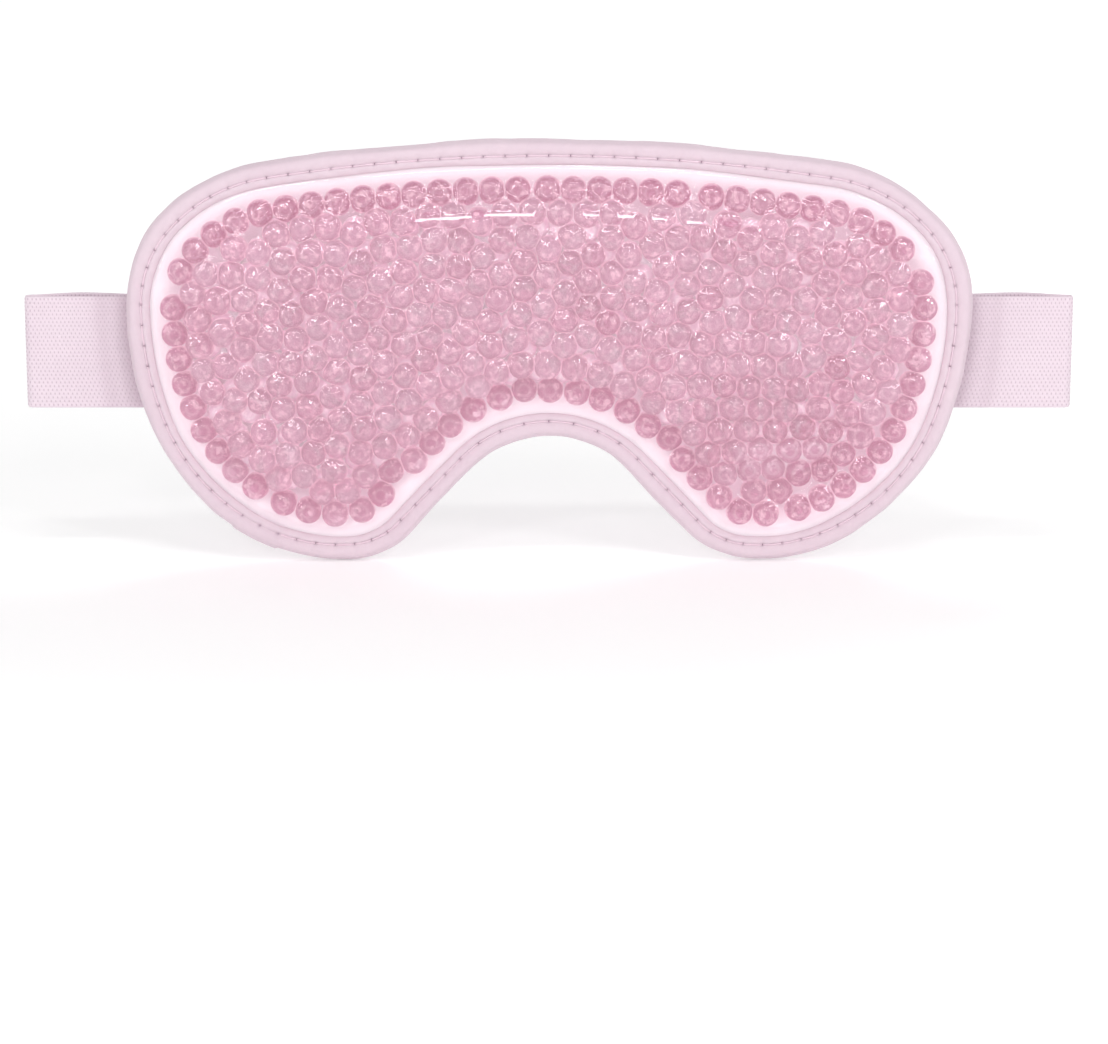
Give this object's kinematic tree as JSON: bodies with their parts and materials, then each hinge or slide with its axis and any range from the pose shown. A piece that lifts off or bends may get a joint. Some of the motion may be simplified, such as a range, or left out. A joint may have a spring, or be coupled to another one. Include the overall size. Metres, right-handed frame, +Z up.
{
  "type": "gel bead eye mask",
  "caption": "Soft contoured eye mask: a pack of pink gel beads behind a clear film window, a fabric back, a sewn tape edge and two elastic straps with hook-and-loop ends.",
  "frame": {"origin": "middle of the skin-side face, on the mask's centre line", "axes": "+X across the mask, to the right as seen from the bead side; +Y out of the skin side; +Z up, towards the brow"},
  "size_m": [0.262, 0.0225, 0.1051],
  "materials": {
    "clear_film": "clear soft film, glossy",
    "gel_beads": "wet translucent gel beads",
    "plush": "short soft plush",
    "binding_tape": "soft woven tape",
    "thread": "polyester thread",
    "elastic": "knitted elastic",
    "hook_tape": "fine moulded hooks",
    "loop_tape": "brushed loops"
  },
  "bodies": {
    "mask": {"front_film": "clear_film", "gel_bead_fill": "gel_beads", "rear_film": "clear_film", "backing_fabric": "plush", "edge_binding": "binding_tape", "binding_needle_thread": "thread", "binding_bobbin_thread": "thread", "strap_left_tab": "elastic", "strap_left_fold": "elastic", "strap_right_tab": "elastic", "strap_right_fold": "elastic"},
    "strap_left": {"strap_left_band": "elastic", "hook_patch": "hook_tape", "hook_patch_stitching": "thread"},
    "strap_right": {"strap_right_band": "elastic", "loop_patch": "loop_tape", "loop_patch_stitching": "thread"}
  },
  "joints": [
    {"name": "strap_left_swing", "type": "hinge", "parent": "mask", "child": "strap_left", "pos_m": [-0.12875, 0.00135, -0.0014], "axis": [0, 0, 1], "range_deg": [0, 180], "deforming": ["strap_left_fold"]},
    {"name": "strap_right_swing", "type": "hinge", "parent": "mask", "child": "strap_right", "pos_m": [0.12875, 0.00135, -0.0014], "axis": [0, 0, -1], "range_deg": [0, 180], "deforming": ["strap_right_fold"]}
  ]
}
